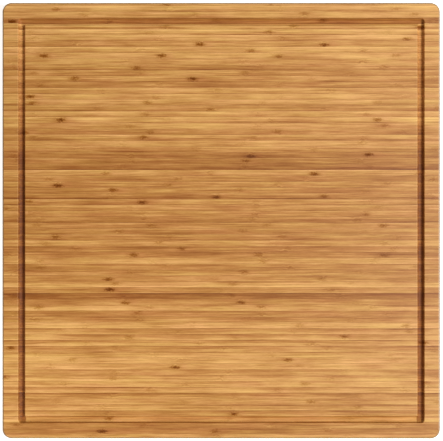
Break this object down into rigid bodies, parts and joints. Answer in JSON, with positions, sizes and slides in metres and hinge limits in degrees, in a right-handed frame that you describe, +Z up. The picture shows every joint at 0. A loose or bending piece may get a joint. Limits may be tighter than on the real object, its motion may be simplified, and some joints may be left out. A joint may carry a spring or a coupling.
{
  "type": "cutting board",
  "caption": "Thick rectangular bamboo cutting board of upright strips glued side by side, with rounded corners and edges and a juice groove round the border.",
  "frame": {"origin": "middle of the underside", "axes": "+X along the strips, +Y to the back edge, +Z up through the board"},
  "size_m": [0.508, 0.506, 0.019],
  "materials": {
    "bamboo_pale": "oiled satin, pale natural bamboo",
    "bamboo_honey": "oiled satin, honey-coloured bamboo",
    "bamboo_amber": "oiled satin, amber carbonised bamboo",
    "bamboo_brown": "oiled satin, brown carbonised bamboo"
  },
  "bodies": {
    "root": {"back_edge_strip_01": "bamboo_honey", "back_border_strip_pair_02_03": "bamboo_honey", "back_groove_strip_04": "bamboo_brown", "field_strip_05": "bamboo_honey", "field_strip_06": "bamboo_pale", "field_strip_pair_07_08": "bamboo_honey", "field_strip_09": "bamboo_honey", "field_strip_10": "bamboo_honey", "field_strip_11": "bamboo_honey", "field_strip_pair_12_13": "bamboo_amber", "field_strip_14": "bamboo_honey", "field_strip_15": "bamboo_amber", "field_strip_16": "bamboo_honey", "field_strip_pair_17_18": "bamboo_honey", "field_strip_19": "bamboo_amber", "field_strip_20": "bamboo_honey", "field_strip_21": "bamboo_pale", "field_strip_pair_22_23": "bamboo_honey", "field_strip_24": "bamboo_honey", "field_strip_25": "bamboo_honey", "field_strip_26": "bamboo_amber", "field_strip_pair_27_28": "bamboo_amber", "field_strip_29": "bamboo_brown", "field_strip_30": "bamboo_honey", "field_strip_31": "bamboo_amber", "field_strip_pair_32_33": "bamboo_honey", "field_strip_34": "bamboo_amber", "field_strip_35": "bamboo_honey", "field_strip_36": "bamboo_honey", "field_strip_pair_37_38": "bamboo_honey", "field_strip_39": "bamboo_honey", "field_strip_40": "bamboo_honey", "field_strip_41": "bamboo_amber", "field_strip_pair_42_43": "bamboo_honey", "field_strip_44": "bamboo_amber", "field_strip_45": "bamboo_pale", "field_strip_46": "bamboo_amber", "field_strip_pair_47_48": "bamboo_honey", "field_strip_49": "bamboo_pale", "field_strip_50": "bamboo_honey", "field_strip_51": "bamboo_brown", "field_strip_pair_52_53": "bamboo_honey", "field_strip_54": "bamboo_amber", "field_strip_55": "bamboo_honey", "field_strip_56": "bamboo_pale", "field_strip_pair_57_58": "bamboo_honey", "field_strip_59": "bamboo_pale", "field_strip_60": "bamboo_honey", "field_strip_61": "bamboo_pale", "field_strip_pair_62_63": "bamboo_pale", "field_strip_64": "bamboo_honey", "field_strip_65": "bamboo_pale", "field_strip_66": "bamboo_pale", "field_strip_pair_67_68": "bamboo_pale", "field_strip_69": "bamboo_pale", "field_strip_70": "bamboo_pale", "field_strip_71": "bamboo_honey", "front_groove_strip_pair_72_73": "bamboo_pale", "front_border_strip_74": "bamboo_honey", "front_edge_strip_75": "bamboo_pale"}
  },
  "joints": []
}
